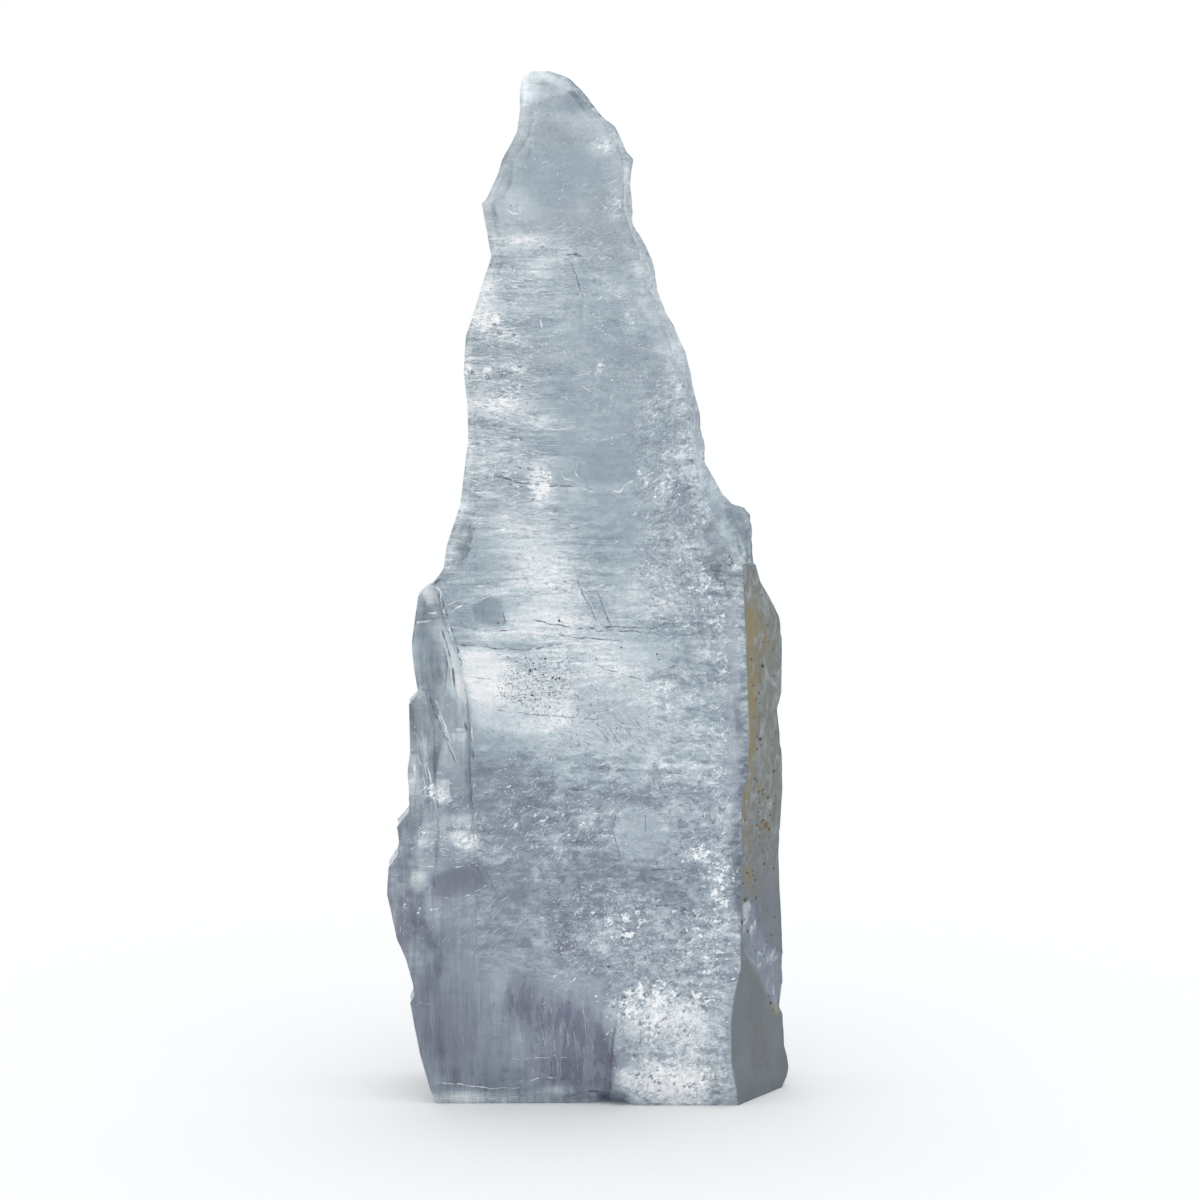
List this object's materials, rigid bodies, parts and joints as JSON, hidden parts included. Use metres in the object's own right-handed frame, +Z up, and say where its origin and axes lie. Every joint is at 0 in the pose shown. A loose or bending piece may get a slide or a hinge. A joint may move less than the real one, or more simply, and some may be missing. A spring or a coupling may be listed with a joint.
{
  "type": "selenite slab",
  "caption": "Tall irregular cleavage slab of clear gypsum crystal, with a matte growth face on its right side, standing on its flat lower face.",
  "frame": {"origin": "on the surface the slab stands on, under the middle of its box", "axes": "+Z up along the length of the slab, +Y from the front cleavage face to the back, +X to the right of the front face, where the growth face is"},
  "size_m": [0.0602, 0.021, 0.15],
  "materials": {
    "crystal": "pearly cleavage face, clear grey-blue body with white veils",
    "growth_face": "matte natural prism face, with tan iron stain along its front edge"
  },
  "bodies": {
    "root": {"selenite_slab": "crystal"}
  },
  "joints": []
}
